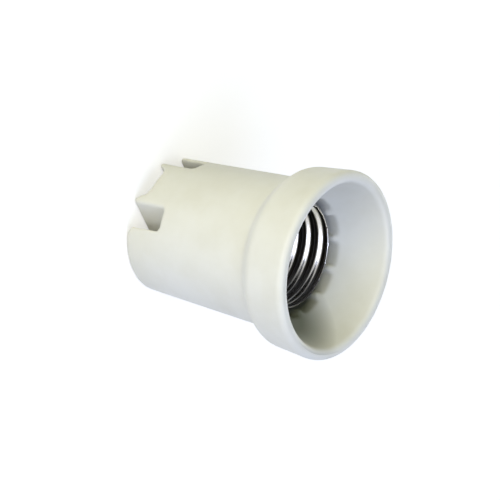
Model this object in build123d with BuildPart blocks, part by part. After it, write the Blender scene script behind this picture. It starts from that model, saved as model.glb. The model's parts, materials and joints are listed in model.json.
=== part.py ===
import math
import os

from build123d import *

# Porcelain screw lamp holder, in millimetres.
# Z is the lamp axis, the rear seat lies on z = 0 and the mouth opens towards +Z.
# The two wire channels of the rear end run along Y, one on each side of the axis.

# Porcelain outside
overall_length = 52.0
rear_diameter = 33.2
neck_diameter = 37.1
neck_height = 36.9
shoulder_diameter = 44.2
shoulder_height = 40.6
rim_diameter = 46.6
lip_width = 3.0
rear_round = 0.8
neck_round = 1.8
shoulder_round = 3.2
lip_round = 1.5
lip_inner_round = 1.35

# Bowl and bore
throat_height = 40.0
bowl_sag = 1.1
floor_height = 18.0
rib_count = 12
rib_width = 1.5
rib_depth = 1.0
rib_start_angle = 1.0
pocket_floor_height = 34.5

# Rear end: two channels, two terminal pockets and the scooped seat between them
channel_inner = 6.65
channel_outer = 11.35
channel_depth = 10.0
wall_round = 1.6
wall_nose_round = 3.2
block_round = 0.6
terminal_pocket_margin = 0.3
terminal_pocket_round = 1.2
scoop_width = 11.2
scoop_side_inset = 1.6
scoop_edge_depth = 2.9
scoop_depth = 3.5
cut_margin = 1.0

# Holes through the web
fixing_spacing = 16.0
fixing_hole_diameter = 4.3
rivet_hole_diameter = 2.3
screw_well_diameter = 3.8
screw_well_depth = 4.0

# Screw shell, lampholder thread of 27 mm nominal size
thread_minor_diameter = 24.5
thread_depth = 1.1
thread_pitch = 3.629
thread_rings_per_turn = 5
shell_sheet = 0.35
shell_top = 39.6
shell_clearance = 0.25
foot_ledge = 0.15
foot_flange = 0.05
lug_width = 4.0

# Rivets that tie shell and contact to the terminals
rivet_x = 8.3
rivet_y = 3.95
rivet_diameter = 2.0
rivet_head_diameter = 3.0
rivet_head_height = 0.9
sheet_clearance = 0.1

# Centre contact and its stud
leaf_sheet = 0.5
leaf_recess_depth = 1.0
leaf_recess_margin = 0.4
leaf_bar_width = 3.6
leaf_width = 5.0
leaf_bend_x = -5.0
leaf_rise_x = -0.6
leaf_tip_x = 2.8
leaf_tip_height = 22.2
leaf_bend_round = 1.5
leaf_tip_round = 1.25
stud_head_diameter = 4.0
stud_head_height = 1.3
stud_rim_height = 0.4
stud_shank_diameter = 1.8
stud_foot_diameter = 2.8
stud_foot_height = 0.5

# Terminals with their clamp screws
terminal_width = 5.0
terminal_length = 11.2
terminal_thickness = 1.2
terminal_round = 0.8
screw_diameter = 3.0
screw_reach = 13.0
screw_head_diameter = 4.8
screw_head_height = 2.0
screw_head_round = 0.6
screw_end_chamfer = 0.4
slot_width = 0.8
slot_depth = 1.0
clamp_side = 4.5
clamp_thickness = 0.8
clamp_round = 0.5
lock_outer_diameter = 4.6
lock_thickness = 0.7
lock_gap = 0.6
lock_gap_angle = 45.0
running_clearance = 0.1

# Worked out from the sizes above
rear_radius = rear_diameter / 2
neck_radius = neck_diameter / 2
shoulder_radius = shoulder_diameter / 2
rim_radius = rim_diameter / 2
thread_mean_radius = (thread_minor_diameter + thread_depth) / 2
thread_crest_radius = thread_minor_diameter / 2 + thread_depth + shell_sheet
bore_radius = thread_crest_radius + shell_clearance
pocket_radius = bore_radius + rib_depth
foot_inner_radius = thread_minor_diameter / 2 - foot_ledge
leaf_floor = floor_height - leaf_recess_depth
terminal_x = channel_inner + terminal_pocket_margin + terminal_width / 2
terminal_face = channel_depth - terminal_thickness
clamp_face = terminal_face - clamp_thickness
lock_face = clamp_face - lock_thickness
foot_top = floor_height + shell_sheet
thread_turns = (shell_top - foot_top) / thread_pitch
ring_count = round(thread_turns * thread_rings_per_turn)
rivet_points = [(rivet_x, rivet_y), (rivet_x, -rivet_y), (-rivet_x, rivet_y), (-rivet_x, -rivet_y)]


# Pressed porcelain: turned outline, then the throat, the web and the rear end are cut out of it
with BuildPart() as porcelain_body:
    with BuildSketch(Plane.XZ):
        with BuildLine():
            lip_point = (rim_radius - lip_width, overall_length)
            throat_point = (bore_radius, throat_height)
            FilletPolyline(
                (0, 0),
                (rear_radius, 0),
                (neck_radius, neck_height),
                (shoulder_radius, shoulder_height),
                (rim_radius, overall_length),
                lip_point,
                radius=[rear_round, neck_round, shoulder_round, lip_round],
            )
            SagittaArc(lip_point, throat_point, bowl_sag)
            Polyline(throat_point, (bore_radius, floor_height), (0, floor_height), (0, 0))
        make_face()
    revolve(axis=Axis.Z)
    lip_edge = porcelain_body.edges().sort_by_distance((rim_radius - lip_width, 0, overall_length))[0]
    fillet(lip_edge, radius=lip_inner_round)

    # Pockets between the throat ribs
    with BuildSketch(Plane.XY.offset(pocket_floor_height)):
        Circle(pocket_radius)
        with PolarLocations(bore_radius, rib_count, start_angle=rib_start_angle):
            Rectangle(bore_radius, rib_width, mode=Mode.SUBTRACT)
    extrude(amount=overall_length - pocket_floor_height - bowl_sag, mode=Mode.SUBTRACT)

    # Wire channels, whose mouths run out in the rounded rear edges of the walls and of the block
    with BuildSketch(Plane.XZ):
        with BuildLine():
            wall_edge = (channel_outer + wall_round, 0)
            block_edge = (channel_inner - block_round, 0)
            Polyline(wall_edge, (wall_edge[0], -cut_margin), (block_edge[0], -cut_margin), block_edge)
            RadiusArc(block_edge, (channel_inner, block_round), -block_round)
            Polyline((channel_inner, block_round), (channel_inner, channel_depth),
                     (channel_outer, channel_depth), (channel_outer, wall_round))
            RadiusArc((channel_outer, wall_round), wall_edge, -wall_round)
        make_face()
        mirror(about=Plane.YZ)
    extrude(amount=rim_radius, both=True, mode=Mode.SUBTRACT)

    # Rounded noses of the outer walls, where they end in the channel mouths
    wall_end = math.sqrt(rear_radius**2 - channel_outer**2)
    for side in (1, -1):
        with BuildSketch(Plane.YZ.offset(side * channel_outer)):
            with BuildLine():
                nose_top = (wall_end - wall_nose_round, 0)
                nose_side = (wall_end, wall_nose_round)
                Polyline(nose_top, (nose_top[0], -cut_margin), (rim_radius, -cut_margin),
                         (rim_radius, wall_nose_round), nose_side)
                RadiusArc(nose_side, nose_top, wall_nose_round)
            make_face()
            mirror(about=Plane.YZ)
        extrude(amount=side * rim_radius, mode=Mode.SUBTRACT)

    # Scooped seat of the middle block
    with BuildSketch(Plane.XZ):
        with BuildLine():
            scoop_half = scoop_width / 2
            scoop_edge = (scoop_half - scoop_side_inset, scoop_edge_depth)
            Polyline((-scoop_edge[0], scoop_edge[1]), (-scoop_half, 0), (-scoop_half, -cut_margin),
                     (scoop_half, -cut_margin), (scoop_half, 0), scoop_edge)
            ThreePointArc(scoop_edge, (0, scoop_depth), (-scoop_edge[0], scoop_edge[1]))
        make_face()
    extrude(amount=rim_radius, both=True, mode=Mode.SUBTRACT)

    # Terminal pockets beside the channels
    with BuildSketch(Plane.XY):
        pocket_width = terminal_width + 2 * terminal_pocket_margin
        pocket_length = terminal_length + 2 * terminal_pocket_margin
        with GridLocations(2 * terminal_x, 0, 2, 1):
            RectangleRounded(pocket_width, pocket_length, terminal_pocket_round)
    extrude(amount=channel_depth, mode=Mode.SUBTRACT)

    # Bed of the centre contact in the floor of the bore
    with BuildSketch(Plane.XY.offset(floor_height)):
        with Locations((-rivet_x, 0)):
            SlotCenterToCenter(2 * rivet_y, leaf_bar_width + 2 * leaf_recess_margin, rotation=90)
        with Locations(((leaf_tip_x + leaf_recess_margin - rivet_x) / 2, 0)):
            Rectangle(leaf_tip_x + leaf_recess_margin + rivet_x, leaf_width + 2 * leaf_recess_margin)
    extrude(amount=-leaf_recess_depth, mode=Mode.SUBTRACT)

    # Fixing holes, rivet holes and the wells behind the clamp screws
    with Locations(Plane.XY.offset(floor_height)):
        with GridLocations(0, fixing_spacing, 1, 2):
            Hole(fixing_hole_diameter / 2)
        with GridLocations(2 * rivet_x, 2 * rivet_y, 2, 2):
            Hole(rivet_hole_diameter / 2)
    with BuildSketch(Plane.XY.offset(channel_depth)):
        with GridLocations(2 * terminal_x, 0, 2, 1):
            Circle(screw_well_diameter / 2)
    extrude(amount=screw_well_depth, mode=Mode.SUBTRACT)


# Rolled shell: rings whose centres climb a small helix make the thread on both faces of the sheet
with BuildPart() as screw_shell:
    for radius, mode in ((thread_mean_radius + shell_sheet, Mode.ADD), (thread_mean_radius, Mode.SUBTRACT)):
        for ring in range(ring_count + 1):
            turns = thread_turns * ring / ring_count
            with BuildSketch(Plane.XY.offset(foot_top + turns * thread_pitch)):
                with PolarLocations(thread_depth / 2, 1, start_angle=360 * turns, rotate=False):
                    Circle(radius)
        loft(ruled=True, mode=mode)
    with BuildSketch(Plane.XY.offset(floor_height)):
        Circle(thread_crest_radius + foot_flange)
        Circle(foot_inner_radius, mode=Mode.SUBTRACT)
        for side in (1, -1):
            lug_angle = math.degrees(math.atan2(side * rivet_y, rivet_x))
            lug_end = Location((rivet_x, side * rivet_y, 0), lug_angle)
            with Locations(lug_end):
                Circle(lug_width / 2)
                Rectangle(foot_inner_radius - math.hypot(rivet_x, rivet_y) + shell_sheet, lug_width,
                          align=(Align.MIN, Align.CENTER))
                Circle((rivet_diameter + sheet_clearance) / 2, mode=Mode.SUBTRACT)
    extrude(amount=shell_sheet)


# Sprung tongue on its cross bar
with BuildPart() as centre_contact:
    with BuildSketch(Plane.XY.offset(leaf_floor)):
        with Locations((-rivet_x, 0)):
            SlotCenterToCenter(2 * rivet_y, leaf_bar_width, rotation=90)
    extrude(amount=leaf_sheet)
    with BuildSketch(Plane.XZ):
        with BuildLine():
            sheet_middle = leaf_floor + leaf_sheet / 2
            FilletPolyline(
                (-rivet_x, sheet_middle),
                (leaf_bend_x, sheet_middle),
                (leaf_rise_x - stud_head_diameter / 2, leaf_tip_height),
                (leaf_tip_x, leaf_tip_height),
                radius=leaf_bend_round,
            )
        trace(line_width=leaf_sheet)
    extrude(amount=leaf_width / 2, both=True)
    tip_edges = centre_contact.edges().filter_by(Axis.Z).group_by(Axis.X)[-1]
    fillet(tip_edges, radius=leaf_tip_round)
    with Locations((0, 0, leaf_tip_height + leaf_sheet)):
        Hole((stud_shank_diameter + sheet_clearance) / 2, depth=2 * leaf_sheet)
    with Locations((-rivet_x, rivet_y, floor_height), (-rivet_x, -rivet_y, floor_height)):
        Hole((rivet_diameter + sheet_clearance) / 2, depth=2 * leaf_recess_depth)


# Contact button riveted through the end of the tongue
with BuildPart() as contact_stud:
    leaf_top = leaf_tip_height + leaf_sheet / 2
    leaf_bottom = leaf_tip_height - leaf_sheet / 2
    with BuildSketch(Plane.XZ):
        with BuildLine():
            head_radius = stud_head_diameter / 2
            dome_start = (head_radius, leaf_top + stud_rim_height)
            dome_end = (0, leaf_top + stud_head_height)
            TangentArc(dome_end, dome_start, tangent=(1, 0))
            Polyline(dome_start, (head_radius, leaf_top), (stud_shank_diameter / 2, leaf_top),
                     (stud_shank_diameter / 2, leaf_bottom), (stud_foot_diameter / 2, leaf_bottom),
                     (stud_foot_diameter / 2, leaf_bottom - stud_foot_height),
                     (0, leaf_bottom - stud_foot_height), dome_end)
        make_face()
    revolve(axis=Axis.Z)


# Brass plate on the floor of a channel; side is +1 for the neutral and -1 for the line terminal
def terminal(side):
    with BuildPart() as plate:
        with BuildSketch(Plane.XY.offset(terminal_face)):
            with Locations((side * terminal_x, 0)):
                RectangleRounded(terminal_width, terminal_length, terminal_round)
                Circle((screw_diameter + running_clearance) / 2, mode=Mode.SUBTRACT)
            with Locations((side * rivet_x, rivet_y), (side * rivet_x, -rivet_y)):
                Circle((rivet_diameter + sheet_clearance) / 2, mode=Mode.SUBTRACT)
        extrude(amount=terminal_thickness)
    return plate.part


# Slotted clamp screw, its head facing the rear
def clamp_screw(side):
    with BuildPart() as screw:
        with Locations((side * terminal_x, 0, lock_face)):
            Cylinder(screw_head_diameter / 2, screw_head_height,
                     align=(Align.CENTER, Align.CENTER, Align.MAX))
            Cylinder(screw_diameter / 2, screw_reach - lock_face,
                     align=(Align.CENTER, Align.CENTER, Align.MIN))
        head_rim = screw.faces().sort_by(Axis.Z)[0].edges()
        fillet(head_rim, radius=screw_head_round)
        with Locations((side * terminal_x, 0, lock_face - screw_head_height)):
            Box(screw_head_diameter, slot_width, slot_depth, align=(Align.CENTER, Align.CENTER, Align.MIN),
                mode=Mode.SUBTRACT)
        chamfer(screw.faces().sort_by(Axis.Z)[-1].edges(), length=screw_end_chamfer)
    return screw.part


# Square wire clamp under the screw head
def clamp_washer(side):
    with BuildPart() as washer:
        with BuildSketch(Plane.XY.offset(clamp_face)):
            with Locations((side * terminal_x, 0)):
                RectangleRounded(clamp_side, clamp_side, clamp_round)
                Circle((screw_diameter + running_clearance) / 2, mode=Mode.SUBTRACT)
        extrude(amount=clamp_thickness)
    return washer.part


# Split spring washer between head and clamp
def lock_washer(side):
    with BuildPart() as washer:
        with BuildSketch(Plane.XY.offset(lock_face)):
            with Locations((side * terminal_x, 0)):
                Circle(lock_outer_diameter / 2)
                Circle((screw_diameter + running_clearance) / 2, mode=Mode.SUBTRACT)
            with Locations(Location((side * terminal_x, 0, 0), lock_gap_angle)):
                Rectangle(lock_outer_diameter, lock_gap, align=(Align.MIN, Align.CENTER), mode=Mode.SUBTRACT)
        extrude(amount=lock_thickness)
    return washer.part


# Rivet from the sheet inside the bore to the terminal plate below the web
def rivet(point, sheet_top):
    with BuildPart() as pin:
        with BuildSketch(Plane((*point, 0), x_dir=(1, 0, 0), z_dir=(0, -1, 0))):
            with BuildLine():
                shank = rivet_diameter / 2
                head = rivet_head_diameter / 2
                top = sheet_top + rivet_head_height
                bottom = terminal_face - rivet_head_height
                dome = (head**2 + rivet_head_height**2) / (2 * rivet_head_height)
                RadiusArc((0, top), (head, sheet_top), dome)
                Polyline((head, sheet_top), (shank, sheet_top), (shank, terminal_face), (head, terminal_face))
                RadiusArc((head, terminal_face), (0, bottom), dome)
                Line((0, bottom), (0, top))
            make_face()
        revolve(axis=Axis((*point, 0), (0, 0, 1)))
    return pin.part


pieces = {
    "porcelain_body": porcelain_body.part,
    "screw_shell": screw_shell.part,
    "centre_contact": centre_contact.part,
    "contact_stud": contact_stud.part,
}
for name, side in (("neutral", 1), ("line", -1)):
    pieces[f"{name}_terminal"] = terminal(side)
    pieces[f"{name}_clamp_screw"] = clamp_screw(side)
    pieces[f"{name}_clamp_washer"] = clamp_washer(side)
    pieces[f"{name}_lock_washer"] = lock_washer(side)
for number, point in enumerate(rivet_points):
    owner, sheet_top = ("shell", foot_top) if point[0] > 0 else ("contact", leaf_floor + leaf_sheet)
    pieces[f"{owner}_rivet_{number % 2 + 1}"] = rivet(point, sheet_top)

os.makedirs("parts", exist_ok=True)
for name, solid in pieces.items():
    solid.label = name
    export_step(solid, f"parts/{name}.step")
    print(name, solid.is_valid, len(solid.solids()), round(solid.volume, 2))
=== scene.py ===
import json
import math
import bpy
import bmesh
from mathutils import Matrix, Vector


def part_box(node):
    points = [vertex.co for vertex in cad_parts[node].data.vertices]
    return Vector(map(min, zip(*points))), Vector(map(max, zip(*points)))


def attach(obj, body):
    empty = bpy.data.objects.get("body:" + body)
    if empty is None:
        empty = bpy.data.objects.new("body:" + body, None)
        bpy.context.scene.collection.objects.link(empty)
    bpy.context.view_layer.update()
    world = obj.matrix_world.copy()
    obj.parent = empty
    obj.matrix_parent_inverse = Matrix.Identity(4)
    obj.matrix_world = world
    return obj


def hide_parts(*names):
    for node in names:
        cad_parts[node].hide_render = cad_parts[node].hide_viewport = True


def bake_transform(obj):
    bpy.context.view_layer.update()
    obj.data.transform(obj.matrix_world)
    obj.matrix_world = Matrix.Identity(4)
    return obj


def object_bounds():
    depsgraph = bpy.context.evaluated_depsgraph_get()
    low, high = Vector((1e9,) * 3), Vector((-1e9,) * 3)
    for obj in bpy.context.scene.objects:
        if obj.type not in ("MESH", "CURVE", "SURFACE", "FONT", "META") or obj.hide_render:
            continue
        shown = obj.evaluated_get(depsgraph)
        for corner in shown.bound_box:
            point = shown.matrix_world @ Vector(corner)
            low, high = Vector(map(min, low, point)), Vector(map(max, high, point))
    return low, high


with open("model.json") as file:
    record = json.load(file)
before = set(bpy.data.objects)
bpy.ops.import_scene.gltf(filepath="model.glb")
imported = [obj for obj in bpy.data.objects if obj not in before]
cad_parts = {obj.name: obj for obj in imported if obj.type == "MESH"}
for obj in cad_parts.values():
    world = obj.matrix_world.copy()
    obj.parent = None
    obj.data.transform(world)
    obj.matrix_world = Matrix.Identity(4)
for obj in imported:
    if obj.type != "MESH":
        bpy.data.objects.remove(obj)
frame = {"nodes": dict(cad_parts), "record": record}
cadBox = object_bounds()
nodes = frame["nodes"]
scene = bpy.context.scene
mm = 0.001
print("frame loaded:", len(nodes), "nodes")

# mesh helpers, with the distances within which they merge and cut
tolerance = {"merge": 0.0005 * mm, "seam": 0.001 * mm, "cut": 0.0001 * mm}


def link(item):
    scene.collection.objects.link(item)
    return item


def meshPiece(name, shape):
    mesh = bpy.data.meshes.new(name)
    shape.to_mesh(mesh)
    shape.free()
    return link(bpy.data.objects.new(name, mesh))


def smoothShade(item):
    for face in item.data.polygons:
        face.use_smooth = True


def mergedCopy(nodeName):
    shape = bmesh.new()
    shape.from_mesh(nodes[nodeName].data)
    bmesh.ops.remove_doubles(shape, verts=shape.verts, dist=tolerance["merge"])
    return shape


def addMesh(shape, other):
    mesh = bpy.data.meshes.new("joined")
    other.to_mesh(mesh)
    other.free()
    shape.from_mesh(mesh)
    bpy.data.meshes.remove(mesh)


def wholeOf(shape):
    return shape.verts[:] + shape.edges[:] + shape.faces[:]


# splits the faces along a plane, and with clear also drops what lies on the side of its normal
def cutAt(shape, point, normal, clear=False):
    bmesh.ops.bisect_plane(shape, geom=wholeOf(shape), dist=tolerance["cut"], plane_co=point, plane_no=normal,
                           clear_outer=clear)


def fillHoles(shape):
    bmesh.ops.holes_fill(shape, edges=[edge for edge in shape.edges if edge.is_boundary])


# node helpers
def addNode(tree, kind, **values):
    node = tree.nodes.new(kind)
    for key, value in values.items():
        if key in node.inputs:
            node.inputs[key].default_value = value
        else:
            setattr(node, key, value)
    return node


# a socket takes a link or a plain value
def feed(tree, socket, value):
    if isinstance(value, bpy.types.NodeSocket):
        tree.links.new(value, socket)
    elif socket.type == "RGBA":
        socket.default_value = (*value, 1.0)
    else:
        socket.default_value = value


def addMath(tree, operation, first, second):
    node = addNode(tree, "ShaderNodeMath", operation=operation)
    for socket, value in zip(node.inputs, (first, second)):
        feed(tree, socket, value)
    return node.outputs[0]


def addVector(tree, operation, first, second=(0, 0, 0)):
    node = addNode(tree, "ShaderNodeVectorMath", operation=operation)
    for socket, value in zip(node.inputs, (first, second)):
        feed(tree, socket, value)
    return node.outputs["Value" if operation in ("LENGTH", "DOT_PRODUCT") else "Vector"]


def addMix(tree, factor, first, second):
    node = addNode(tree, "ShaderNodeMix", data_type="RGBA")
    sockets = {socket.identifier: socket for socket in (*node.inputs, *node.outputs)}
    for label, value in (("Factor_Float", factor), ("A_Color", first), ("B_Color", second)):
        feed(tree, sockets[label], value)
    return sockets["Result_Color"]


def addRange(tree, value, low, high, toLow=0.0, toHigh=1.0):
    node = addNode(tree, "ShaderNodeMapRange")
    for socket, given in zip(node.inputs, (value, low, high, toLow, toHigh)):
        feed(tree, socket, given)
    return node.outputs[0]


def emptyTree(owner):
    owner.use_nodes = True
    owner.node_tree.nodes.clear()
    return owner.node_tree


# camera of the photograph: angles in degrees, lengths in metres, image sizes in pixels
photo = {
    "azimuth": 35.0,
    "elevation": 34.75,
    "roll": -104.11,
    "distance": 0.838,
    "focalPixels": 3468.5,
    "imagePixels": 500.0,
    "aimHeight": 26.0 * mm,
    "aimAcross": 2.2,  # from the image centre to the aim point
    "aimUp": 5.2,
    "sensor": 36.0,
    "clip": (0.01, 20.0),
}


def photoAxes():
    azimuth, elevation, roll = (math.radians(photo[key]) for key in ("azimuth", "elevation", "roll"))
    flat = math.cos(elevation)
    towards = Vector((math.sin(azimuth) * flat, -math.cos(azimuth) * flat, math.sin(elevation)))
    level = Vector((math.cos(azimuth), math.sin(azimuth), 0.0))
    upright = towards.cross(level)
    across = math.cos(roll) * level - math.sin(roll) * upright
    rise = math.sin(roll) * level + math.cos(roll) * upright
    return across, rise, towards


across, rise, towards = photoAxes()
pixel = photo["distance"] / photo["focalPixels"]
aimShift = pixel * (photo["aimAcross"] * across + photo["aimUp"] * rise)
aimPoint = Vector((0, 0, photo["aimHeight"])) - aimShift


def makeCamera():
    data = bpy.data.cameras.new("photoCamera")
    data.sensor_width = photo["sensor"]
    data.lens = photo["focalPixels"] / photo["imagePixels"] * photo["sensor"]
    data.clip_start, data.clip_end = photo["clip"]
    camera = link(bpy.data.objects.new("photoCamera", data))
    turn = Matrix((across, rise, towards)).transposed().to_4x4()
    camera.matrix_world = Matrix.Translation(aimPoint + photo["distance"] * towards) @ turn
    scene.camera = camera


# lamp places are given as seen in the picture: right, up, towards the camera
lamps = {
    "keyLamp": {"place": (-0.7, 0.0, 1.0), "power": 4.85, "tint": (1.0, 0.985, 0.97), "mirrored": True},
    "warmFill": {"place": (0.0, 0.7, 1.0), "power": 1.75, "tint": (1.0, 0.92, 0.28), "mirrored": False},
    "coolFill": {"place": (0.7, -0.7, 1.0), "power": 3.3, "tint": (0.64, 0.72, 1.0), "mirrored": True},
    "backFill": {"place": (1.0, 0.0, -1.0), "power": 2.5, "tint": (1.0, 1.0, 1.0), "mirrored": True},
}
lampRig = {"distance": 0.8, "size": 0.6}


def makeLamp(name, lamp):
    data = bpy.data.lights.new(name, "AREA")
    data.size = lampRig["size"]
    data.energy = lamp["power"]
    data.color = lamp["tint"]
    item = link(bpy.data.objects.new(name, data))
    item.visible_glossy = lamp["mirrored"]
    right, up, front = lamp["place"]
    direction = (right * across + up * rise + front * towards).normalized()
    sideways = rise.cross(direction).normalized()
    turn = Matrix((sideways, direction.cross(sideways), direction)).transposed().to_4x4()
    item.matrix_world = Matrix.Translation(aimPoint + lampRig["distance"] * direction) @ turn


# room: floor and surroundings, white to the camera and in reflections
room = {
    "airLight": 0.3,
    "airTint": (0.9, 0.96, 1.0),
    "floorHalf": 3.0,
    "floorColour": (0.7, 0.7, 0.7),
    "floorGlow": 0.55,  # lifts the lit floor to white and leaves the shadow on it
    "cardHeight": 0.2,  # dark card over the mouth, seen only in reflections
    "cardRadius": 0.36,
    "cardSides": 48,
    "cardShift": (0.24, 0.2),  # up in the picture, and away from the camera
    "cardColour": (0.01, 0.01, 0.01),
}


def seenRay(tree):
    path = addNode(tree, "ShaderNodeLightPath")
    glossy = addMath(tree, "MAXIMUM", path.outputs["Is Camera Ray"], path.outputs["Is Glossy Ray"])
    return addMath(tree, "MAXIMUM", glossy, path.outputs["Is Transmission Ray"])


def makeSurroundings():
    world = bpy.data.worlds.new("studioAir")
    scene.world = world
    tree = emptyTree(world)
    soft = addNode(tree, "ShaderNodeBackground", Color=(*room["airTint"], 1), Strength=room["airLight"])
    white = addNode(tree, "ShaderNodeBackground", Color=(1, 1, 1, 1), Strength=1.0)
    mix = addNode(tree, "ShaderNodeMixShader")
    output = addNode(tree, "ShaderNodeOutputWorld")
    tree.links.new(seenRay(tree), mix.inputs[0])
    tree.links.new(soft.outputs[0], mix.inputs[1])
    tree.links.new(white.outputs[0], mix.inputs[2])
    tree.links.new(mix.outputs[0], output.inputs[0])


def makeFloor():
    shape = bmesh.new()
    place = Matrix.Translation((0, 0, cadBox[0].z))
    bmesh.ops.create_grid(shape, x_segments=1, y_segments=1, size=room["floorHalf"], matrix=place)
    floor = meshPiece("floor", shape)
    material = bpy.data.materials.new("paleFloor")
    tree = emptyTree(material)
    matte = addNode(tree, "ShaderNodeBsdfDiffuse", Color=(*room["floorColour"], 1))
    glow = addNode(tree, "ShaderNodeEmission", Color=(1, 1, 1, 1))
    both = addNode(tree, "ShaderNodeAddShader")
    output = addNode(tree, "ShaderNodeOutputMaterial")
    tree.links.new(addMath(tree, "MULTIPLY", seenRay(tree), room["floorGlow"]), glow.inputs["Strength"])
    tree.links.new(matte.outputs[0], both.inputs[0])
    tree.links.new(glow.outputs[0], both.inputs[1])
    tree.links.new(both.outputs[0], output.inputs[0])
    floor.data.materials.append(material)


def makeCard():
    shape = bmesh.new()
    away = -Vector((towards.x, towards.y, 0)).normalized()
    aside = Vector((0, 0, 1)).cross(away)
    upShift, awayShift = room["cardShift"]
    shift = upShift * math.copysign(1, aside.dot(rise)) * aside + awayShift * away
    place = Matrix.Translation(shift + Vector((0, 0, cadBox[1].z + room["cardHeight"])))
    bmesh.ops.create_circle(shape, cap_ends=True, segments=room["cardSides"], radius=room["cardRadius"],
                            matrix=place)
    card = meshPiece("darkCard", shape)
    material = bpy.data.materials.new("darkCard")
    tree = emptyTree(material)
    black = addNode(tree, "ShaderNodeBsdfDiffuse", Color=(*room["cardColour"], 1))
    output = addNode(tree, "ShaderNodeOutputMaterial")
    tree.links.new(black.outputs[0], output.inputs[0])
    card.data.materials.append(material)
    card.visible_camera = card.visible_diffuse = card.visible_shadow = False


makeCamera()
for lampName, lampValues in lamps.items():
    makeLamp(lampName, lampValues)
makeSurroundings()
makeFloor()
makeCard()
print("camera, lamps and room made")

# glazed body: the pressed form with the soft edges that a coat of glaze gives
body = {"voxel": 0.45 * mm, "smoothRounds": 4, "smoothShare": 0.5}


def makeBody():
    item = meshPiece("glazedBody", mergedCopy("porcelain_body"))
    remesh = item.modifiers.new("soften", "REMESH")
    remesh.mode = "VOXEL"
    remesh.voxel_size = body["voxel"]
    evaluated = item.evaluated_get(bpy.context.evaluated_depsgraph_get())
    softMesh = bpy.data.meshes.new_from_object(evaluated)
    item.modifiers.clear()
    shape = bmesh.new()
    shape.from_mesh(softMesh)
    for _ in range(body["smoothRounds"]):
        bmesh.ops.smooth_vert(shape, verts=shape.verts, factor=body["smoothShare"],
                              use_axis_x=True, use_axis_y=True, use_axis_z=True)
    shape.to_mesh(item.data)
    shape.free()
    smoothShade(item)
    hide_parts("porcelain_body")
    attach(item, "holder")
    return item


# one pitch of a rounded thread, whose crest and root are arcs that meet at the steepest slope
def threadProfile(thread, bottom):
    shape = bmesh.new()
    pitch = thread["pitch"]
    ends = [shape.verts.new((thread["meanRadius"], 0, bottom + side * pitch)) for side in (0, 1)]
    wire = shape.edges.new(ends)
    bmesh.ops.subdivide_edges(shape, edges=[wire], cuts=thread["pointsPerPitch"] - 1)
    steepest = 2 * math.atan(4 * thread["halfDepth"] / pitch)
    arc = pitch / 4 / math.sin(steepest)
    for vert in shape.verts:
        share = (vert.co.z - bottom) / pitch
        middle = round(2 * share) / 2  # the crest or root that this point belongs to
        slope = 4 * (share - middle) * steepest
        side = -1 if middle == 0.5 else 1
        vert.co.x += side * (thread["halfDepth"] - arc * (1 - math.cos(slope)))
        vert.co.z = bottom + middle * pitch + arc * math.sin(slope)
    return shape


# the profile turned once about Z, and stacked until it covers low to high
def roundThread(thread, low, high):
    pitch, steps = thread["pitch"], thread["stepsPerTurn"]
    shape = threadProfile(thread, low - pitch)
    bmesh.ops.spin(shape, geom=shape.verts[:] + shape.edges[:], cent=(0, 0, 0), axis=(0, 0, 1),
                   dvec=(0, 0, pitch / steps), angle=2 * math.pi, steps=steps)
    oneTurn = wholeOf(shape)
    for turn in range(1, math.ceil((high - low) / pitch) + 2):
        copy = bmesh.ops.duplicate(shape, geom=oneTurn)
        copied = [item for item in copy["geom"] if isinstance(item, bmesh.types.BMVert)]
        bmesh.ops.translate(shape, verts=copied, vec=(0, 0, turn * pitch))
    bmesh.ops.remove_doubles(shape, verts=shape.verts, dist=tolerance["seam"])
    cutAt(shape, (0, 0, low), (0, 0, -1), clear=True)
    cutAt(shape, (0, 0, high), (0, 0, 1), clear=True)
    bmesh.ops.recalc_face_normals(shape, faces=shape.faces)
    outward = sum(face.normal.dot(face.calc_center_median() * Vector((1, 1, 0))) for face in shape.faces)
    if outward < 0:
        bmesh.ops.reverse_faces(shape, faces=shape.faces)
    return shape


# rolled shell: the round thread of the lamp in thin sheet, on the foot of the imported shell
shell = {
    "meanRadius": 12.8 * mm,
    "halfDepth": 0.55 * mm,
    "pitch": 3.629 * mm,
    "sheet": 0.35 * mm,
    "footHeight": 0.36 * mm,
    "pointsPerPitch": 20,
    "stepsPerTurn": 120,
}


def makeShell():
    low, high = (corner.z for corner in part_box("screw_shell"))
    footTop = low + shell["footHeight"]
    shape = roundThread(shell, footTop, high)
    bmesh.ops.solidify(shape, geom=shape.faces[:], thickness=-shell["sheet"])
    foot = mergedCopy("screw_shell")
    cutAt(foot, (0, 0, footTop), (0, 0, 1), clear=True)
    addMesh(shape, foot)
    item = meshPiece("rolledShell", shape)
    smoothShade(item)
    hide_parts("screw_shell")
    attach(item, "holder")
    return item


# centre leaf: the tongue between the stud at its tip and the holder at its bar, cut across at even steps from
# bendFrom to bendTo
leaf = {"bendFrom": -6.5 * mm, "bendTo": -1.9 * mm, "cuts": 24}


def makeLeaf():
    shape = mergedCopy("centre_contact")
    for cut in range(leaf["cuts"] + 1):
        x = leaf["bendFrom"] + (leaf["bendTo"] - leaf["bendFrom"]) * cut / leaf["cuts"]
        cutAt(shape, (x, 0, 0), (1, 0, 0))
    item = meshPiece("centreLeaf", shape)
    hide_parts("centre_contact")
    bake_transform(item)
    return item


# clamp screws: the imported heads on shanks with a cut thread
screw = {
    "meanRadius": 1.36 * mm,
    "halfDepth": 0.12 * mm,
    "pitch": 0.5 * mm,
    "headHeight": 2.0 * mm,
    "headOverlap": 0.2 * mm,
    "pointsPerPitch": 8,
    "stepsPerTurn": 40,
}


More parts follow.
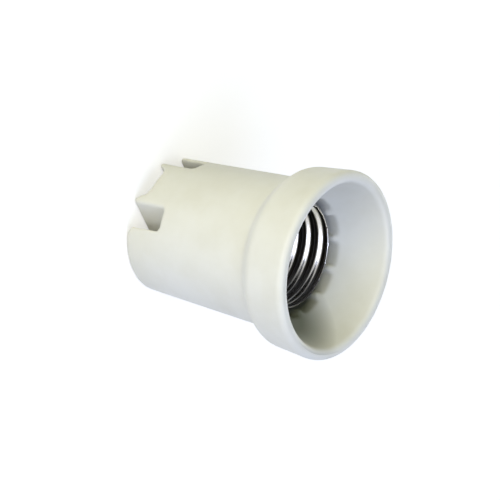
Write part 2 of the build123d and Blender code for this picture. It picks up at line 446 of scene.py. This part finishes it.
def makeScrew(side):
    node = f"{side}_clamp_screw"
    lowCorner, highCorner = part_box(node)
    headTop = lowCorner.z + screw["headHeight"]
    shape = roundThread(screw, headTop - screw["headOverlap"], highCorner.z)
    fillHoles(shape)
    middle = (lowCorner + highCorner) / 2
    bmesh.ops.translate(shape, verts=shape.verts, vec=(middle.x, middle.y, 0))
    head = mergedCopy(node)
    cutAt(head, (0, 0, headTop), (0, 0, 1), clear=True)
    fillHoles(head)
    addMesh(shape, head)
    item = meshPiece(f"{side}ThreadedScrew", shape)
    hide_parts(node)
    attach(item, f"{side}_screw")
    return item


pieces = {
    "porcelain_body": makeBody(),
    "screw_shell": makeShell(),
    "centre_contact": makeLeaf(),
    "neutral_clamp_screw": makeScrew("neutral"),
    "line_clamp_screw": makeScrew("line"),
}
for piece in pieces.values():
    print(piece.name, len(piece.data.polygons), "faces made")


# shader groups that several finishes share
def newGroup(name, vectors, values, outputs):
    tree = bpy.data.node_groups.new(name, "ShaderNodeTree")
    for kind, labels in (("NodeSocketVector", vectors), ("NodeSocketFloat", values)):
        for label in labels:
            tree.interface.new_socket(label, in_out="INPUT", socket_type=kind)
    for label in outputs:
        tree.interface.new_socket(label, in_out="OUTPUT", socket_type="NodeSocketFloat")
    return tree, addNode(tree, "NodeGroupInput").outputs, addNode(tree, "NodeGroupOutput").inputs


# soft cloudy patches
mottleValues = {"detail": 4.0, "roughness": 0.55, "range": (0.36, 0.66)}


def makeCloudMottle():
    tree, given, made = newGroup("cloudMottle", ("Point",), ("Scale",), ("Mask",))
    noise = addNode(tree, "ShaderNodeTexNoise", Detail=mottleValues["detail"],
                    Roughness=mottleValues["roughness"])
    tree.links.new(given["Point"], noise.inputs["Vector"])
    tree.links.new(given["Scale"], noise.inputs["Scale"])
    tree.links.new(addRange(tree, noise.outputs[0], *mottleValues["range"]), made["Mask"])
    return tree


# fine tool marks, stronger in some places than in others
lineValues = {
    "detail": 3.0,
    "roughness": 0.65,
    "broadDetail": 1.0,
    "broadScale": 0.15,  # share of the scale of the fine lines
    "streakRange": (0.45, 0.75),
}


def makeFineLines():
    tree, given, made = newGroup("fineLines", ("Point",), ("Scale",), ("Height", "Streak"))
    fine = addNode(tree, "ShaderNodeTexNoise", Detail=lineValues["detail"],
                   Roughness=lineValues["roughness"])
    broad = addNode(tree, "ShaderNodeTexNoise", Detail=lineValues["broadDetail"])
    for noise in (fine, broad):
        tree.links.new(given["Point"], noise.inputs["Vector"])
    tree.links.new(given["Scale"], fine.inputs["Scale"])
    broadScale = addMath(tree, "MULTIPLY", given["Scale"], lineValues["broadScale"])
    tree.links.new(broadScale, broad.inputs["Scale"])
    tree.links.new(addMath(tree, "MULTIPLY", fine.outputs[0], broad.outputs[0]), made["Height"])
    tree.links.new(addRange(tree, fine.outputs[0], *lineValues["streakRange"]), made["Streak"])
    return tree


# shade in corners and creases
creaseValues = {"samples": 8, "openRange": (0.95, 0.25)}


def makeCreaseShade():
    tree, given, made = newGroup("creaseShade", (), ("Reach", "Strength"), ("Mask",))
    openness = addNode(tree, "ShaderNodeAmbientOcclusion", samples=creaseValues["samples"])
    tree.links.new(given["Reach"], openness.inputs["Distance"])
    shade = addRange(tree, openness.outputs["AO"], *creaseValues["openRange"])
    tree.links.new(addMath(tree, "MULTIPLY", shade, given["Strength"]), made["Mask"])
    return tree


# a painted shadow that grows from none to full strength against the direction of rise
def makeSideShadow():
    tree, given, made = newGroup("sideShadow", ("Point", "Rise"), ("Clean", "Covered"), ("Mask",))
    height = addVector(tree, "DOT_PRODUCT", given["Point"], given["Rise"])
    tree.links.new(addRange(tree, height, given["Clean"], given["Covered"]), made["Mask"])
    return tree


cloudMottle, fineLines = makeCloudMottle(), makeFineLines()
creaseShade, sideShadow = makeCreaseShade(), makeSideShadow()
print("shader groups made")


def useGroup(tree, group, **values):
    node = addNode(tree, "ShaderNodeGroup", node_tree=group)
    for label, value in values.items():
        feed(tree, node.inputs[label], value)
    return node.outputs


def addSideShadow(tree, point, finish):
    return useGroup(tree, sideShadow, Point=point, Rise=finish["shadowRise"], Clean=finish["dustClean"],
                    Covered=finish["dustCovered"])["Mask"]


def newFinish(name, metallic):
    material = bpy.data.materials.new(name)
    material.use_nodes = True
    tree = material.node_tree
    shader = tree.nodes["Principled BSDF"]
    shader.inputs["Metallic"].default_value = metallic
    place = addNode(tree, "ShaderNodeTexCoord").outputs
    return material, tree, shader, place["Object"], place["Normal"]


def addBump(tree, shader, height, strength, distance):
    bump = addNode(tree, "ShaderNodeBump", Strength=strength, Distance=distance)
    tree.links.new(height, bump.inputs["Height"])
    tree.links.new(bump.outputs[0], shader.inputs["Normal"])


def along(tree, vector):
    return addVector(tree, "DOT_PRODUCT", vector, (0, 0, 1))


def flattened(tree, vector):
    return addVector(tree, "MULTIPLY", vector, (1, 1, 0))


# ivory glaze over a bare seat, with faint mottle, a few specks, painted shade in the creases and a painted
# shadow on one side of the throat
glaze = {
    "ivory": (0.83, 0.83, 0.785),
    "cream": (0.785, 0.78, 0.715),
    "mottleScale": 90.0,
    "speck": (0.42, 0.36, 0.28),
    "speckScale": 300.0,
    "speckShare": 0.86,  # cells above this value carry a speck
    "speckRadius": (0.05, 0.025),  # of its rim and of its core, in cells
    "speckStrength": 0.45,
    # grey of the painted shade in creases and hollows
    "paintedCreaseShade": (0.30, 0.31, 0.30),
    "paintedCreaseShadeReach": 4.0 * mm,
    "paintedCreaseShadeStrength": 0.25,
    "paintedCreaseShadeHeights": (12.0 * mm, 30.0 * mm),  # the painted shade is weaker at the rear than in the mouth
    "paintedCreaseShadeRear": 0.3,
    # dark olive of a painted shadow on one side of the throat's inner wall
    "throatShadow": (0.17, 0.18, 0.135),
    "shadowRise": (-0.75, -0.5, 1.0),
    "dustClean": 34.6 * mm,
    "dustCovered": 28.6 * mm,
    "throatShadowHeights": (30.0 * mm, 38.0 * mm),
    "biscuit": (0.80, 0.78, 0.74),
    "bareHeights": (0.3 * mm, 0.15 * mm),  # from glazed to bare
    "bareEdge": 0.25 * mm,
    "bareRough": 0.35,
    "roughness": (0.4, 0.5),
    "gloss": 0.35,
    "peelScale": 450.0,
    "peelDetail": 2.0,
    "peelStrength": 0.5,
    "peelDepth": 0.03 * mm,
}


def addSpecks(tree, point):
    cells = addNode(tree, "ShaderNodeTexVoronoi", Scale=glaze["speckScale"])
    tree.links.new(point, cells.inputs["Vector"])
    chosen = addMath(tree, "GREATER_THAN", cells.outputs["Color"], glaze["speckShare"])
    dot = addRange(tree, cells.outputs["Distance"], *glaze["speckRadius"])
    return addMath(tree, "MULTIPLY", addMath(tree, "MULTIPLY", chosen, dot), glaze["speckStrength"])


def makeGlaze():
    material, tree, shader, point, normal = newFinish("ivoryGlaze", 0.0)
    height = along(tree, point)
    mottle = useGroup(tree, cloudMottle, Point=point, Scale=glaze["mottleScale"])["Mask"]
    # painted shade: the glaze greys where the surface is closed in, more in the mouth than at the rear
    paintedCreaseShade = useGroup(tree, creaseShade, Reach=glaze["paintedCreaseShadeReach"], Strength=glaze["paintedCreaseShadeStrength"])["Mask"]
    paintedCreaseShadeShare = addRange(tree, height, *glaze["paintedCreaseShadeHeights"], glaze["paintedCreaseShadeRear"], 1.0)
    paintedCreaseShade = addMath(tree, "MULTIPLY", paintedCreaseShade, paintedCreaseShadeShare)
    outward = addVector(tree, "DOT_PRODUCT", normal, flattened(tree, point))
    throatShadowShare = addRange(tree, height, *glaze["throatShadowHeights"])
    # painted shadow on one side of the throat, on inner faces between the given heights
    throatShadow = addMath(tree, "MULTIPLY", addSideShadow(tree, point, glaze), throatShadowShare)
    throatShadow = addMath(tree, "MULTIPLY", throatShadow, addMath(tree, "LESS_THAN", outward, 0.0))
    ragged = addMath(tree, "MULTIPLY", mottle, glaze["bareEdge"])
    bare = addRange(tree, addMath(tree, "SUBTRACT", height, ragged), *glaze["bareHeights"])
    colour = addMix(tree, mottle, glaze["ivory"], glaze["cream"])
    colour = addMix(tree, addSpecks(tree, point), colour, glaze["speck"])
    colour = addMix(tree, bare, colour, glaze["biscuit"])
    colour = addMix(tree, paintedCreaseShade, colour, glaze["paintedCreaseShade"])
    colour = addMix(tree, throatShadow, colour, glaze["throatShadow"])
    tree.links.new(colour, shader.inputs["Base Color"])
    satin = addRange(tree, mottle, 0.0, 1.0, *glaze["roughness"])
    rough = addMath(tree, "ADD", satin, addMath(tree, "MULTIPLY", bare, glaze["bareRough"]))
    tree.links.new(rough, shader.inputs["Roughness"])
    shader.inputs["Specular IOR Level"].default_value = glaze["gloss"]
    peel = addNode(tree, "ShaderNodeTexNoise", Scale=glaze["peelScale"], Detail=glaze["peelDetail"])
    tree.links.new(point, peel.inputs["Vector"])
    addBump(tree, shader, peel.outputs[0], glaze["peelStrength"], glaze["peelDepth"])
    return material


# a plated or bare metal: a clean and a dull tone, grime and painted shade in its creases and fine lines in
# its surface
def makeMetal(name, metal):
    material, tree, shader, point, normal = newFinish(name, 1.0)
    dull = useGroup(tree, cloudMottle, Point=point, Scale=metal["mottleScale"])["Mask"]
    grimeAndShade = useGroup(tree, creaseShade, Reach=metal["grimeAndShadeReach"], Strength=metal["grimeAndShadeStrength"])["Mask"]
    lines = useGroup(tree, fineLines, Point=metal["linePoint"](tree, point), Scale=metal["lineScale"])
    colour = addMix(tree, dull, metal["clean"], metal["dull"])
    # grime and painted shade darken the creases, where the surface is closed in
    colour = addMix(tree, grimeAndShade, colour, metal["grimeAndShade"])
    if "wornSlope" in metal:
        worn = addRange(tree, along(tree, normal), *metal["wornSlope"])
        # painted shade: on one side of the shell fewer flanks stay bright
        shine = addRange(tree, addSideShadow(tree, point, metal), 0.0, 1.0, 1.0, metal["shadowShine"])
        worn = addMath(tree, "MULTIPLY", worn, shine)
        # the near-black tone on flanks turned from the mouth is partly tarnish and partly painted shade
        colour = addMix(tree, worn, metal["tarnishAndShade"], colour)
        dull = addMath(tree, "MAXIMUM", dull, addRange(tree, worn, 0.0, 1.0, metal["tarnishRough"], 0.0))
    tree.links.new(colour, shader.inputs["Base Color"])
    rough = addRange(tree, dull, 0.0, 1.0, *metal["roughness"])
    rough = addMath(tree, "ADD", rough, addMath(tree, "MULTIPLY", lines["Streak"], metal["lineRough"]))
    tree.links.new(rough, shader.inputs["Roughness"])
    addBump(tree, shader, lines["Height"], metal["lineStrength"], metal["lineDepth"])
    return material


# radius from the Z axis in place of x and y, so that a pattern runs round like tool marks
def turnedPoint(tree, point):
    turned = addNode(tree, "ShaderNodeCombineXYZ")
    tree.links.new(addVector(tree, "LENGTH", flattened(tree, point)), turned.inputs["X"])
    tree.links.new(along(tree, point), turned.inputs["Z"])
    return turned.outputs[0]


# lines of the rolled sheet run along Y
sheetStretch = (1.0, 0.03, 1.0)


def rolledPoint(tree, point):
    return addVector(tree, "MULTIPLY", point, sheetStretch)


# both screws stand at the same distance from the YZ plane, so one pattern serves the pair
screwLow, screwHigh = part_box("neutral_clamp_screw")
screwPlace = ((screwLow.x + screwHigh.x) / 2, 0.0, 0.0)


def screwPoint(tree, point):
    folded = addVector(tree, "ABSOLUTE", point)
    return turnedPoint(tree, addVector(tree, "SUBTRACT", folded, screwPlace))


nickel = {
    "clean": (0.80, 0.79, 0.77),
    "dull": (0.66, 0.64, 0.60),
    "mottleScale": 260.0,
    "roughness": (0.12, 0.3),
    # tone of grime and painted shade in the creases
    "grimeAndShade": (0.05, 0.047, 0.042),
    "grimeAndShadeReach": 1.0 * mm,
    "grimeAndShadeStrength": 0.5,
    # near-black of tarnish and painted shade, for the flanks turned from the mouth
    "tarnishAndShade": (0.10, 0.095, 0.085),
    "tarnishRough": 1.0,
    "wornSlope": (0.35, 0.6),  # flanks that face the mouth are rubbed bright by lamp caps; the flanks turned away take a near-black tone that is partly tarnish and partly painted shade
    # the shell is painted darker on one side, as shade
    "shadowRise": (-0.75, -0.5, 0.0),
    "dustClean": 1.0 * mm,
    "dustCovered": -5.0 * mm,
    "shadowShine": 0.35,  # share of the shine that is left under the painted shade
    "linePoint": turnedPoint,
    "lineScale": 2500.0,
    "lineRough": 0.05,
    "lineStrength": 0.4,
    "lineDepth": 0.01 * mm,
}
brass = {
    "clean": (0.74, 0.55, 0.24),
    "dull": (0.50, 0.35, 0.15),
    "mottleScale": 350.0,
    "roughness": (0.26, 0.42),
    # tone of grime and painted shade in the creases
    "grimeAndShade": (0.14, 0.09, 0.05),
    "grimeAndShadeReach": 0.8 * mm,
    "grimeAndShadeStrength": 0.7,
    "linePoint": rolledPoint,
    "lineScale": 1800.0,
    "lineRough": 0.08,
    "lineStrength": 0.4,
    "lineDepth": 0.01 * mm,
}
zinc = {
    "clean": (0.63, 0.65, 0.67),
    "dull": (0.53, 0.52, 0.46),
    "mottleScale": 500.0,
    "roughness": (0.32, 0.46),
    # tone of grime and painted shade in the creases
    "grimeAndShade": (0.11, 0.10, 0.09),
    "grimeAndShadeReach": 0.8 * mm,
    "grimeAndShadeStrength": 0.7,
    "linePoint": screwPoint,
    "lineScale": 3000.0,
    "lineRough": 0.08,
    "lineStrength": 0.4,
    "lineDepth": 0.01 * mm,
}
finishes = {
    "porcelain": makeGlaze(),
    "plated_shell": makeMetal("nickelPlate", nickel),
    "brass": makeMetal("sheetBrass", brass),
    "zinc_steel": makeMetal("zincPlate", zinc),
}
for row in frame["record"]["subparts"]:
    shown = pieces.get(row["node"], nodes[row["node"]])
    shown.data.materials.clear()
    shown.data.materials.append(finishes[row["material_slot"]])
print("finishes set:", ", ".join(finishes))

scene.view_settings.view_transform = "Standard"
